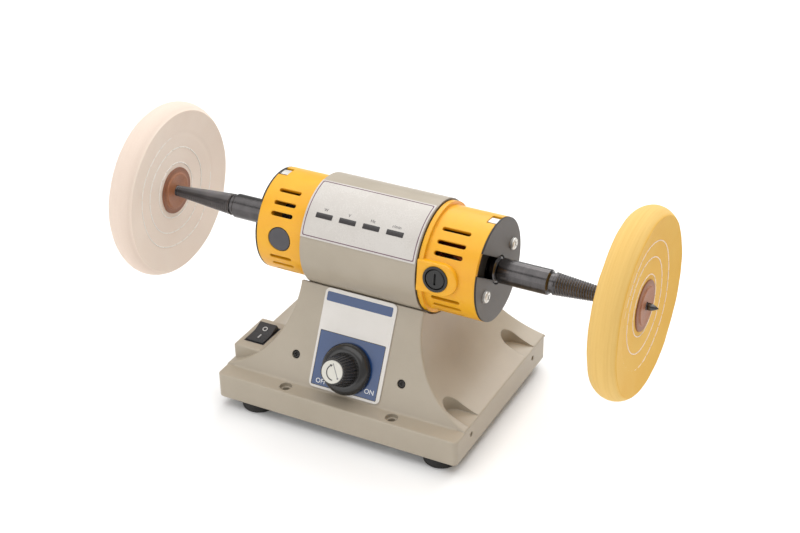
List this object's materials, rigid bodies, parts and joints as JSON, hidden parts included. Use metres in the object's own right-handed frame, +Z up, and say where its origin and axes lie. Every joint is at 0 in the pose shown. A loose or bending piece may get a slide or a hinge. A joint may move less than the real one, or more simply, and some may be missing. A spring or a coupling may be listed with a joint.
{
  "type": "bench polishing machine",
  "caption": "Benchtop polishing motor on a flared cast base, with a tapered threaded spindle and a stitched cotton buffing wheel at each end, a speed knob and a rocker switch.",
  "frame": {"origin": "on the bench plane under the middle of the motor, at the middle of the bounding box's underside", "axes": "+X along the motor axis towards the brush end, -Y towards the operator and the control panel, +Z up"},
  "size_m": [0.309, 0.1238, 0.1445],
  "materials": {
    "casting_paint": "warm grey satin paint with a fine orange peel",
    "cover_steel": "dark painted sheet",
    "foot_rubber": "matte black rubber",
    "screw_black": "black oxide",
    "screw_steel": "bright zinc",
    "panel_film": "printed plastic film, blue and white",
    "knob_black": "satin black",
    "knob_white": "white with a dark printed mark",
    "switch_black": "black",
    "contact_brass": "plain brass",
    "gland_nylon": "black nylon",
    "label_film": "white film with a thin dark red frame",
    "cap_yellow": "golden yellow, semi-gloss",
    "plate_grey": "dark grey, fine texture",
    "bracket_alloy": "die cast",
    "bearing_steel": "polished",
    "plug_grey": "dark grey",
    "brush_black": "black phenolic",
    "carbon": "graphite",
    "spring_steel": "plain",
    "lamination": "stacked sheet",
    "copper": "enamelled copper",
    "shaft_steel": "ground",
    "spindle_black": "blackened steel",
    "board_green": "solder mask",
    "sink_alloy": "extruded",
    "capacitor_film": "plain",
    "fan_black": "moulded",
    "wheel_white": "white cotton, stitched in rings",
    "wheel_yellow": "yellow cotton, stitched in rings",
    "hub_leather": "brown leather discs"
  },
  "bodies": {
    "frame": {"base_casting": "casting_paint", "bottom_cover": "cover_steel", "rubber_feet": "foot_rubber", "foot_screws": "screw_steel", "control_panel": "panel_film", "front_screws": "screw_black", "board_standoffs": "bracket_alloy", "board_nuts": "screw_steel", "control_board": "board_green", "heat_sink": "sink_alloy", "filter_capacitor": "capacitor_film", "potentiometer_body": "bracket_alloy", "potentiometer_nut": "screw_steel", "rocker_switch_body": "switch_black", "switch_terminals": "contact_brass", "gland_body": "gland_nylon", "gland_dome_nut": "gland_nylon", "gland_seal": "foot_rubber", "gland_locknut": "gland_nylon", "motor_housing": "casting_paint", "motor_label": "label_film", "motor_mount_screws": "screw_steel", "stator_core": "lamination", "field_coils": "copper", "left_end_cap": "cap_yellow", "right_end_cap": "cap_yellow", "left_end_plate": "plate_grey", "right_end_plate": "plate_grey", "left_bearing_bracket": "bracket_alloy", "right_bearing_bracket": "bracket_alloy", "bracket_screws": "screw_steel", "locating_keys": "screw_steel", "left_bearing_outer_ring": "bearing_steel", "right_bearing_outer_ring": "bearing_steel", "brush_holders": "brush_black", "brush_caps": "brush_black", "end_cap_plugs": "plug_grey", "front_brush_spring": "spring_steel", "rear_brush_spring": "spring_steel"},
    "rotor": {"rotor_shaft": "shaft_steel", "armature_core": "lamination", "armature_windings": "copper", "commutator": "copper", "cooling_fan": "fan_black", "left_bearing_inner_ring": "bearing_steel", "right_bearing_inner_ring": "bearing_steel", "left_spindle": "spindle_black", "right_spindle": "spindle_black", "left_buffing_wheel": "wheel_white", "right_buffing_wheel": "wheel_yellow", "left_wheel_hub_discs": "hub_leather", "right_wheel_hub_discs": "hub_leather"},
    "left_ball_set": {"left_bearing_balls": "bearing_steel"},
    "right_ball_set": {"right_bearing_balls": "bearing_steel"},
    "knob": {"control_knob": "knob_black", "knob_cap": "knob_white", "potentiometer_shaft": "shaft_steel"},
    "rocker_key": {"rocker": "switch_black"},
    "front_brush": {"front_carbon_brush": "carbon"},
    "rear_brush": {"rear_carbon_brush": "carbon"}
  },
  "joints": [
    {"name": "rotor_spin", "type": "hinge", "parent": "frame", "child": "rotor", "pos_m": [0, 0, 0.0935], "axis": [1, 0, 0], "continuous": true},
    {"name": "left_balls_roll", "type": "hinge", "parent": "frame", "child": "left_ball_set", "pos_m": [0, 0, 0.0935], "axis": [1, 0, 0], "continuous": true},
    {"name": "right_balls_roll", "type": "hinge", "parent": "frame", "child": "right_ball_set", "pos_m": [0, 0, 0.0935], "axis": [1, 0, 0], "continuous": true},
    {"name": "knob_turn", "type": "hinge", "parent": "frame", "child": "knob", "pos_m": [-0.0028, -0.04217, 0.03553], "axis": [0, -0.9003, 0.4353], "range_deg": [-150, 150]},
    {"name": "rocker_press", "type": "hinge", "parent": "frame", "child": "rocker_key", "pos_m": [-0.066, -0.028, 0.03], "axis": [1, 0, 0], "range_deg": [-20, 0]},
    {"name": "front_brush_slide", "type": "slide", "parent": "frame", "child": "front_brush", "axis": [0, -0.9903, 0.1392], "range_m": [0, 0.003], "stiffness_N_per_m": 200, "springref_m": -0.005, "deforming": ["front_brush_spring"]},
    {"name": "rear_brush_slide", "type": "slide", "parent": "frame", "child": "rear_brush", "axis": [0, 0.9903, -0.1392], "range_m": [0, 0.003], "stiffness_N_per_m": 200, "springref_m": -0.005, "deforming": ["rear_brush_spring"]}
  ],
  "couplings": [
    {"joint": "left_balls_roll", "follows": "rotor_spin", "ratio": 0.368},
    {"joint": "right_balls_roll", "follows": "rotor_spin", "ratio": 0.368}
  ]
}
